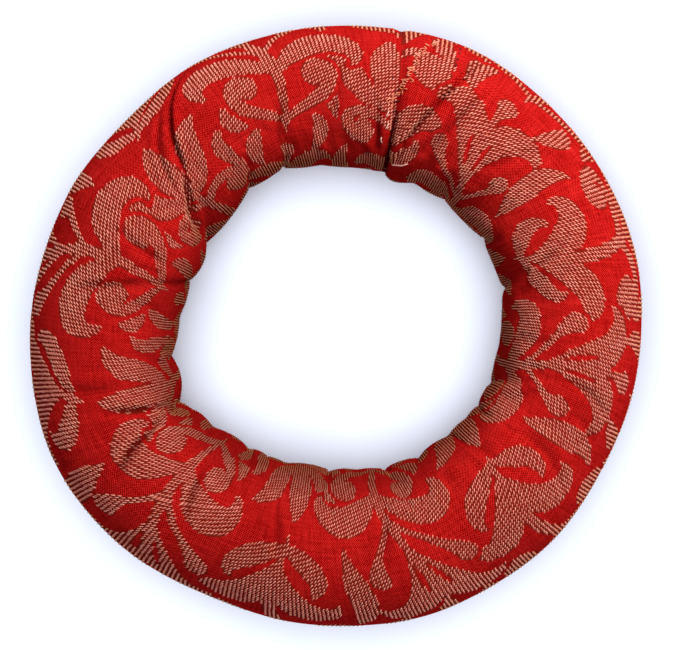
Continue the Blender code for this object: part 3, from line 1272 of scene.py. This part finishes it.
@dataclass
class GoldFloats:
    """The gold threads that float over the ground in short slanting dashes.

    Attributes:
        cover: The cover that they lie on.
        column: Step from one column of dashes to the next.
        row: Step from one dash to the next in a column.
        slant: Degrees between a dash and its column on the crown; at both edges it stands square to the edge.
        wider: How much wider a dash is at the outer edge, as a share.
        length: Length of a dash.
        width: Width of a dash.
        height: How far a dash stands proud.
        stagger: Step up from one column's dashes to the next one's, as a share of the row.
        uneven: How far a dash lies off its place, as a spread.
        inside: How far in the gold a dash's middle is at least.
        lowest: Height over the floor under which no dash lies.
        darkest: Shade past which no dash lies.
        edge_power: How suddenly a dash turns square and wide towards an edge.
        overlap: Columns worked out past each end of the strip.
        pieces: How many meshes they are shared over.
        seed: Seed of their unevenness.
    """

    cover: RingCover
    column: float = 0.80
    row: float = 0.80
    slant: float = 42.0
    wider: float = 0.45
    length: float = 1.25
    width: float = 0.34
    height: float = 0.18
    stagger: float = 0.37
    uneven: float = 0.035
    inside: float = 0.02
    lowest: float = 0.35
    darkest: float = 0.76
    edge_power: float = 2.5
    overlap: int = 12
    pieces: int = 4
    seed: int = 7

    def places(self) -> dict[str, np.ndarray]:
        """Works out where each dash lies.

        Returns:
            Points, directions, sizes and tones of the dashes, by name.
        """
        random = np.random.default_rng(self.seed)
        columns = np.arange(-self.overlap, int(STRIP_LENGTH / self.column) + self.overlap)
        rows = np.arange(int(STRIP_WIDTH / self.row) + 1)
        column, row = np.meshgrid(columns, rows, indexing="ij")
        along = (column + 0.5).ravel() * self.column
        up = ((row + self.stagger * column) % (STRIP_WIDTH / self.row)).ravel() * self.row
        up = up - STRIP_WIDTH / 4.0
        along = along + random.normal(0.0, self.uneven, along.shape)
        up = up + random.normal(0.0, self.uneven, up.shape)
        turn = self.cover.ring_turn(along, up)
        tube = up / STRIP_WIDTH * 360.0
        outside = self.cover.damask.at(along, up)
        middle = self.cover.sample(self.cover.settled, turn, tube)
        # Painted shade of the cloth under each dash, which darkens the dash
        shade = self.cover.sample(self.cover.shaded[..., None], turn, tube)[:, 0]
        kept = (turn >= JOIN_GAP) & (turn < 360.0 - JOIN_GAP) & (outside < -self.inside)
        kept &= (middle[:, 2] > self.lowest) & (shade < self.darkest)
        along, up, turn, tube, middle, shade = (part[kept] for part in (along, up, turn, tube, middle, shade))
        outward = np.cos(np.radians(tube))
        at_edge = np.abs(outward) ** self.edge_power
        slant = np.radians(self.slant) * (1.0 - at_edge)
        half_along = np.sin(slant) * self.length / 2.0
        half_up = np.cos(slant) * self.length / 2.0
        ends = []
        for side in (-1.0, 1.0):
            end_up = up + side * half_up
            end_turn = self.cover.ring_turn(along + side * half_along, end_up)
            end_turn = np.clip(end_turn, 0.0, LAST_TURN)
            ends.append(self.cover.sample(self.cover.settled, end_turn, end_up / STRIP_WIDTH * 360.0))
        run = ends[1] - ends[0]
        beside = self.cover.sample(self.cover.settled, turn + HALF_DEGREE, tube) - middle
        across = np.linalg.norm(beside, axis=-1) / (STRIP_LENGTH / 360.0 * HALF_DEGREE)
        facing = unit(self.cover.sample(self.cover.normals, turn, tube))
        broad = (1.0 + self.wider * at_edge * (outward > 0.0)) * (0.2 + 0.8 * across)
        count = len(along)
        size = np.stack(
            [
                np.linalg.norm(run, axis=-1) * random.uniform(0.86, 1.08, count),
                self.width * broad * random.uniform(0.85, 1.15, count),
                self.height * random.uniform(0.75, 1.2, count),
            ],
            axis=-1,
        )
        # Painted sheen: dashes on cloth that tilts towards upright turn yellower, less so in the hole
        level = np.abs(facing[:, 2])
        sheen_in_hole = np.clip((tube - SHEEN_FROM) / SHEEN_OVER, SHEEN_LEAST, 1.0)
        upright = 1.0 - np.clip((level - EDGE_LEVEL) / EDGE_OVER, 0.0, 1.0)
        return {
            "point": (middle + facing * OFF_CLOTH) * MM,
            "run": unit(run),
            "facing": facing,
            "size": size * MM,
            "tone": random.uniform(0.0, 1.0, count),
            "edge": upright * np.where(tube < CROWN, 1.0, sheen_in_hole),
            "shade": shade,
        }

    def dash(self) -> bpy.types.Object:
        """One dash, one long, one wide and one high, closed underneath."""
        half, shoulder, tip_depth, foot_depth = 0.5, 0.27, -0.2, -0.3
        points = [(-half, 0.0, tip_depth)]
        for place in (-shoulder, shoulder):
            points += [(place, -half, foot_depth), (place, 0.0, 1.0), (place, half, foot_depth)]
        points.append((half, 0.0, tip_depth))
        faces = []
        for side in range(3):
            first, other = 1 + side, 1 + (side + 1) % 3
            faces += [(0, first, other), (first, first + 3, other + 3, other), (first + 3, 7, other + 3)]
        mesh = bpy.data.meshes.new("gold_dash")
        mesh.from_pydata(points, [], faces)
        mesh.shade_smooth()
        made = bpy.data.objects.new("gold_dash", mesh)
        bpy.context.scene.collection.objects.link(made)
        return made

    def tree(self) -> bpy.types.GeometryNodeTree:
        """Builds the tree that sets a dash on every point.

        Returns:
            The tree, with its inputs named Geometry, Dash and Finish.
        """
        tree = bpy.data.node_groups.new("gold_floats", "GeometryNodeTree")
        face = tree.interface
        face.new_socket("Geometry", in_out="INPUT", socket_type="NodeSocketGeometry")
        face.new_socket("Dash", in_out="INPUT", socket_type="NodeSocketObject")
        face.new_socket("Finish", in_out="INPUT", socket_type="NodeSocketMaterial")
        face.new_socket("Geometry", in_out="OUTPUT", socket_type="NodeSocketGeometry")
        nodes, links = tree.nodes, tree.links
        entry = nodes.new("NodeGroupInput")
        leave = nodes.new("NodeGroupOutput")
        turn = nodes.new("FunctionNodeAxesToRotation")
        turn.primary_axis = "Z"
        turn.secondary_axis = "X"
        dash = nodes.new("GeometryNodeObjectInfo")
        spread = nodes.new("GeometryNodeInstanceOnPoints")
        real = nodes.new("GeometryNodeRealizeInstances")
        dress = nodes.new("GeometryNodeSetMaterial")
        for name, socket in (
            ("facing", turn.inputs[0]),
            ("run", turn.inputs[1]),
            ("size", spread.inputs["Scale"]),
        ):
            read = nodes.new("GeometryNodeInputNamedAttribute")
            read.data_type = "FLOAT_VECTOR"
            read.inputs["Name"].default_value = name
            links.new(read.outputs[0], socket)
        for source, socket in (
            (entry.outputs["Dash"], dash.inputs["Object"]),
            (entry.outputs["Geometry"], spread.inputs["Points"]),
            (dash.outputs["Geometry"], spread.inputs["Instance"]),
            (turn.outputs[0], spread.inputs["Rotation"]),
            (spread.outputs["Instances"], real.inputs["Geometry"]),
            (real.outputs["Geometry"], dress.inputs["Geometry"]),
            (entry.outputs["Finish"], dress.inputs["Material"]),
            (dress.outputs["Geometry"], leave.inputs["Geometry"]),
        ):
            links.new(source, socket)
        return tree

    def build(self, finish: bpy.types.Material) -> list[bpy.types.Object]:
        """Sets the dashes on the cover.

        Args:
            finish: Their finish.

        Returns:
            One plain mesh for each share of them.
        """
        found = self.places()
        dash = self.dash()
        tree = self.tree()
        made = []
        shares = np.array_split(np.arange(len(found["tone"])), self.pieces)
        for number, share in enumerate(shares):
            name = f"gold_floats_{number + 1}"
            seeds = bpy.data.meshes.new(name + "_seeds")
            seeds.from_pydata(found["point"][share].tolist(), [], [])
            for key in ("run", "facing", "size", "tone", "edge", "shade"):
                keep_on(seeds, key, found[key][share])
            carrier = bpy.data.objects.new(name + "_seeds", seeds)
            bpy.context.scene.collection.objects.link(carrier)
            modifier = carrier.modifiers.new("floats", "NODES")
            modifier.node_group = tree
            for item in tree.interface.items_tree:
                if item.in_out == "INPUT" and item.name == "Dash":
                    modifier[item.identifier] = dash
                if item.in_out == "INPUT" and item.name == "Finish":
                    modifier[item.identifier] = finish
            bpy.context.view_layer.update()
            graph = bpy.context.evaluated_depsgraph_get()
            mesh = bpy.data.meshes.new_from_object(carrier.evaluated_get(graph))
            for key in ("run", "facing", "size"):
                if key in mesh.attributes:
                    mesh.attributes.remove(mesh.attributes[key])
            mesh.name = name
            piece = bpy.data.objects.new(name, mesh)
            bpy.context.scene.collection.objects.link(piece)
            carrier.modifiers.remove(modifier)
            bpy.data.objects.remove(carrier)
            made.append(piece)
        bpy.data.objects.remove(dash)
        return made


@dataclass
class ThreadMesh:
    """Threads laid over the cover, gathered into one mesh.

    Attributes:
        cover: The cover that they lie on.
        name: Name of the mesh.
        radius: Radius of a thread in millimetres.
        between: Points laid from one place of a thread to the next.
        twist_length: Length of one turn of a thread's twist in millimetres.
    """

    cover: RingCover
    name: str
    radius: float
    between: int = 4
    twist_length: float = 0.7
    points: list[np.ndarray] = field(default_factory=list)
    faces: list[np.ndarray] = field(default_factory=list)
    values: dict[str, list[np.ndarray]] = field(default_factory=dict)

    SIDES = 6

    def placed(self, rows: np.ndarray) -> tuple[np.ndarray, np.ndarray]:
        """Points of places given as ring angle, tube angle and height, and the way that the cloth faces."""
        turn = np.mod(rows[:, 0] - JOIN_AT_CROWN - JOIN_LEAN * np.cos(np.radians(rows[:, 1])), 360.0)
        facing = unit(self.cover.sample(self.cover.normals, turn, rows[:, 1]))
        return self.cover.sample(self.cover.settled, turn, rows[:, 1]) + facing * rows[:, 2:3], facing

    def curved(self, rows: np.ndarray) -> np.ndarray:
        """A smooth curve through rows of numbers, from the first to the last."""
        ends = np.concatenate([[2.0 * rows[0] - rows[1]], rows, [2.0 * rows[-1] - rows[-2]]])
        share = np.arange(0.0, len(rows) - 1.0, 1.0 / self.between)
        first = np.floor(share).astype(int)
        part = (share - first)[:, None]
        curve = between_four([ends[first + step] for step in range(4)], part)
        return np.concatenate([curve, rows[-1:]])

    def lay(self, rows: list[Triple], values: dict[str, float]) -> None:
        """Lays one thread.

        Args:
            rows: Places on it, as ring angle, tube angle and height off the cloth.
            values: What the finish reads from it, by attribute name.
        """
        places, facing = self.placed(np.array(rows, float))
        path = self.curved(places)
        way = unit(np.gradient(path, axis=0))
        over = self.curved(facing)
        side = unit(np.cross(way, over))
        over = np.cross(side, way)
        round_angle = np.arange(self.SIDES) / self.SIDES * 2.0 * math.pi
        turned = round_angle[None, :, None]
        ring = side[:, None] * np.cos(turned) + over[:, None] * np.sin(turned)
        start = sum(len(block) for block in self.points)
        self.points.append((path[:, None] + ring * self.radius).reshape(-1, 3))
        station, number = np.meshgrid(np.arange(len(path) - 1), np.arange(self.SIDES), indexing="ij")
        beside = (number + 1) % self.SIDES
        here, after = station * self.SIDES, (station + 1) * self.SIDES
        walls = np.stack([here + number, after + number, after + beside, here + beside], axis=-1)
        walls = walls.reshape(-1, 4)
        last = (len(path) - 1) * self.SIDES
        ends = np.array([[0, 1, 2, 3], [0, 3, 4, 5]])
        self.faces.append(np.concatenate([walls[:, ::-1], ends[:, ::-1], ends + last])[:, ::-1] + start)
        far = np.concatenate([[0.0], np.cumsum(np.linalg.norm(np.diff(path, axis=0), axis=-1))])
        twist = np.sin(far[:, None] / self.twist_length * 2.0 * math.pi + 2.0 * round_angle[None, :])
        self.values.setdefault("twist", []).append(twist.ravel())
        for key, value in values.items():
            self.values.setdefault(key, []).append(np.full(twist.size, value))

    def build(self, finish: bpy.types.Material) -> bpy.types.Object:
        """Makes the mesh of all the threads laid so far."""
        made = mesh_object(self.name, np.concatenate(self.points) * MM, np.concatenate(self.faces), finish)
        for key, blocks in self.values.items():
            keep_on(made.data, key, np.concatenate(blocks))
        return made


# How a stitch over the join, and a small one beside it, go along their length and off the cloth
OVER_STITCH = [(-1.0, -0.2), (-0.7, 0.10), (0.0, 0.30), (0.7, 0.10), (1.0, -0.2)]
SMALL_STITCH = [(-0.5, -0.15), (-0.3, 0.16), (0.0, 0.22), (0.3, 0.16), (0.5, -0.15)]


@dataclass
class JoinSewing:
    """The hand sewing of the join and the frayed edge beside it.

    Attributes:
        cover: The cover that is sewn.
        loops: Gold threads that loop out of the frayed edge.
        gold_radius: Radius of a gold thread in millimetres.
        cotton_radius: Radius of the sewing thread.
        middle_reach: How far the middle of the tube is from the middle of the ring.
        half_reach: Half of the tube's width.
        seed: Seed of their unevenness.
    """

    cover: RingCover
    loops: int = 34
    gold_radius: float = 0.11
    cotton_radius: float = 0.15
    middle_reach: float = 57.0
    half_reach: float = 17.0
    seed: int = 11

    def moved(self, place: tuple[float, float], along: float, up: float) -> tuple[float, float]:
        """A ring angle and tube angle, moved by millimetres along the ring and round the tube."""
        reach = self.middle_reach + self.half_reach * math.cos(math.radians(place[1]))
        return place[0] + math.degrees(along / reach), place[1] + up / STRIP_WIDTH * 360.0

    def frayed(self, finish: bpy.types.Material) -> bpy.types.Object:
        """Gold threads that were cut at the edge and loop out of it."""
        random = np.random.default_rng(self.seed)
        threads = ThreadMesh(self.cover, "frayed_gold", self.gold_radius)
        edge = np.array(FRAYED_EDGE)
        for number in range(self.loops):
            share = (number + random.uniform(-0.4, 0.4)) / (self.loops - 1) * (len(edge) - 1)
            share = min(max(share, 0.0), len(edge) - 1.001)
            first = int(share)
            start = tuple(edge[first] + (edge[first + 1] - edge[first]) * (share - first))
            out = random.uniform(0.5, 1.5) * (1.0 if random.random() < 0.6 else -0.7)
            run = random.uniform(-0.8, 1.5)
            lift = random.uniform(0.2, 0.5)
            loop = [
                (-0.3, -0.2, -0.25),
                (0.4, 0.1, 0.7 * lift),
                (1.0, 0.45, lift),
                (0.9, 0.85, 0.8 * lift),
                (0.2, 1.1, -0.2),
            ]
            rows = [(*self.moved(start, across * out, up * run), high) for across, up, high in loop]
            threads.lay(rows, {"tone": random.uniform(0.2, 0.9), "edge": random.uniform(0.1, 0.6)})
        return threads.build(finish)

    def stitched(self, finish: bpy.types.Material) -> bpy.types.Object:
        """Stitches over the join, pale and dark ones beside it and one loose thread end."""
        random = np.random.default_rng(self.seed + 1)
        threads = ThreadMesh(self.cover, "join_stitches", self.cotton_radius)
        for tube in np.arange(88.0, 176.0, 8.0):
            groove = (JOIN_AT_CROWN + JOIN_LEAN * math.cos(math.radians(tube)), tube)
            half = random.uniform(0.7, 1.05)
            lean = random.uniform(0.2, 0.7)
            rows = [(*self.moved(groove, share * half, share * lean), high) for share, high in OVER_STITCH]
            threads.lay(rows, {"pale": 0.0})
        for places, pale, length in ((PALE_STITCHES, 1.0, 1.6), (DARK_STITCHES, 0.0, 0.9)):
            for place in places:
                lean = random.uniform(-0.25, 0.25) * length
                small = [(share * lean, share * length, high) for share, high in SMALL_STITCH]
                rows = [(*self.moved(place, across, up), high) for across, up, high in small]
                threads.lay(rows, {"pale": pale})
        threads.lay(LOOSE_END, {"pale": 1.0})
        return threads.build(finish)


@dataclass
class Studio:
    """White paper, soft light from above and the camera over the cushion.

    Attributes:
        frame_width: How much of the cushion's widest level the picture spans, in metres.
        aim: Where the middle of the picture is, in metres.
        level: Height of the cushion's widest level, in metres.
        lens: Focal length in millimetres.
        sensor: Width of the sensor in millimetres.
        floor_half: Half of the paper's side in metres.
        window: Place of the soft light over the upper right of the picture, in metres.
        window_size: Its side in metres.
        window_power: Its power in watts.
        window_colour: Its colour.
        paper_height: How high the paper's own light is, in metres.
        paper_size: Its side in metres.
        paper_power: Its power in watts.
        sky: Colour of the surroundings.
        sky_strength: Their strength.
    """

    frame_width: float = 0.1665
    aim: tuple[float, float] = (0.00098, 0.00012)
    level: float = 0.016
    lens: float = 85.0
    sensor: float = 36.0
    floor_half: float = 1.5
    window: Triple = (0.175, 0.24, 0.385)
    window_size: float = 0.28
    window_power: float = 3.4
    window_colour: Triple = (1.0, 0.985, 0.97)
    paper_height: float = 0.8
    paper_size: float = 0.9
    paper_power: float = 11.0
    sky: Triple = (0.90, 0.94, 1.0)
    sky_strength: float = 0.25

    def camera(self) -> None:
        """Sets the camera straight above, with the top of the picture towards +Y."""
        data = bpy.data.cameras.new("camera")
        data.lens = self.lens
        data.sensor_width = self.sensor
        data.clip_start = 0.01
        data.clip_end = 10.0
        made = bpy.data.objects.new("camera", data)
        made.location = (*self.aim, self.level + self.frame_width * self.lens / self.sensor)
        bpy.context.scene.collection.objects.link(made)
        bpy.context.scene.camera = made

    def light(self, name: str, place: tuple, size: float, power: float, colour: tuple) -> bpy.types.Object:
        """Adds a square soft light that faces the cushion.

        Args:
            name: Its name.
            place: Where it stands, in metres.
            size: Its side in metres.
            power: Its power in watts.
            colour: Its colour.

        Returns:
            The light.
        """
        data = bpy.data.lights.new(name, "AREA")
        data.shape = "SQUARE"
        data.size = size
        data.energy = power
        data.color = colour
        made = bpy.data.objects.new(name, data)
        made.location = place
        far = math.hypot(place[0], place[1])
        made.rotation_euler = (math.atan2(far, place[2]), 0.0, math.atan2(place[0], -place[1]))
        bpy.context.scene.collection.objects.link(made)
        return made

    def light_paper(self, floor: bpy.types.Object, overhead: bpy.types.Object) -> None:
        """Lights the paper from straight above instead, so that it is nearly white with an even soft shadow.

        Args:
            floor: The paper.
            overhead: The light over the cushion, which leaves the paper out.
        """
        for name, state in (("paper_only", "INCLUDE"), ("all_but_paper", "EXCLUDE")):
            group = bpy.data.collections.new(name)
            group.objects.link(floor)
            group.collection_objects[0].light_linking.link_state = state
        above = (0.0, 0.0, self.paper_height)
        lamp = self.light("paper_light", above, self.paper_size, self.paper_power, (1.0, 1.0, 1.0))
        lamp.light_linking.receiver_collection = bpy.data.collections["paper_only"]
        overhead.light_linking.receiver_collection = bpy.data.collections["all_but_paper"]

    def build(self) -> bpy.types.Object:
        """Sets up the floor, the lights, the surroundings and the camera.

        Returns:
            The floor.
        """
        scene = bpy.context.scene
        scene.view_settings.view_transform = "Standard"
        scene.view_settings.look = "None"
        world = bpy.data.worlds.new("surroundings")
        scene.world = world
        world.use_nodes = True
        background = world.node_tree.nodes["Background"]
        background.inputs["Color"].default_value = (*self.sky, 1.0)
        background.inputs["Strength"].default_value = self.sky_strength
        size, power = self.window_size, self.window_power
        overhead = self.light("overhead", self.window, size, power, self.window_colour)
        corners = np.array([(-1.0, -1.0, 0.0), (1.0, -1.0, 0.0), (1.0, 1.0, 0.0), (-1.0, 1.0, 0.0)])
        floor_finish = FloorFinish().build()
        floor = mesh_object("floor", corners * self.floor_half, np.array([[0, 1, 2, 3]]), floor_finish)
        self.light_paper(floor, overhead)
        self.camera()
        return floor


def main() -> None:
    """Builds the cushion's looks piece by piece."""
    logging.basicConfig(level=logging.INFO, format="%(message)s")
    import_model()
    floor = Studio().build()
    cover = RingCover(LeafDamask())
    cover_object = cover.build()
    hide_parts("ring_cushion")
    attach(cover_object, "root")
    LOG.info("cover: %d faces", len(cover_object.data.polygons))
    gold = GoldThreadFinish().build()
    sewing = JoinSewing(cover)
    frayed = sewing.frayed(gold)
    for piece in [*GoldFloats(cover).build(gold), frayed]:
        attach(piece, "root")
        LOG.info("%s: %d faces", piece.name, len(piece.data.polygons))
    stitches = sewing.stitched(SewingThreadFinish().build())
    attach(stitches, "root")
    LOG.info("%s: %d faces", stitches.name, len(stitches.data.polygons))


if __name__ == "__main__":
    main()
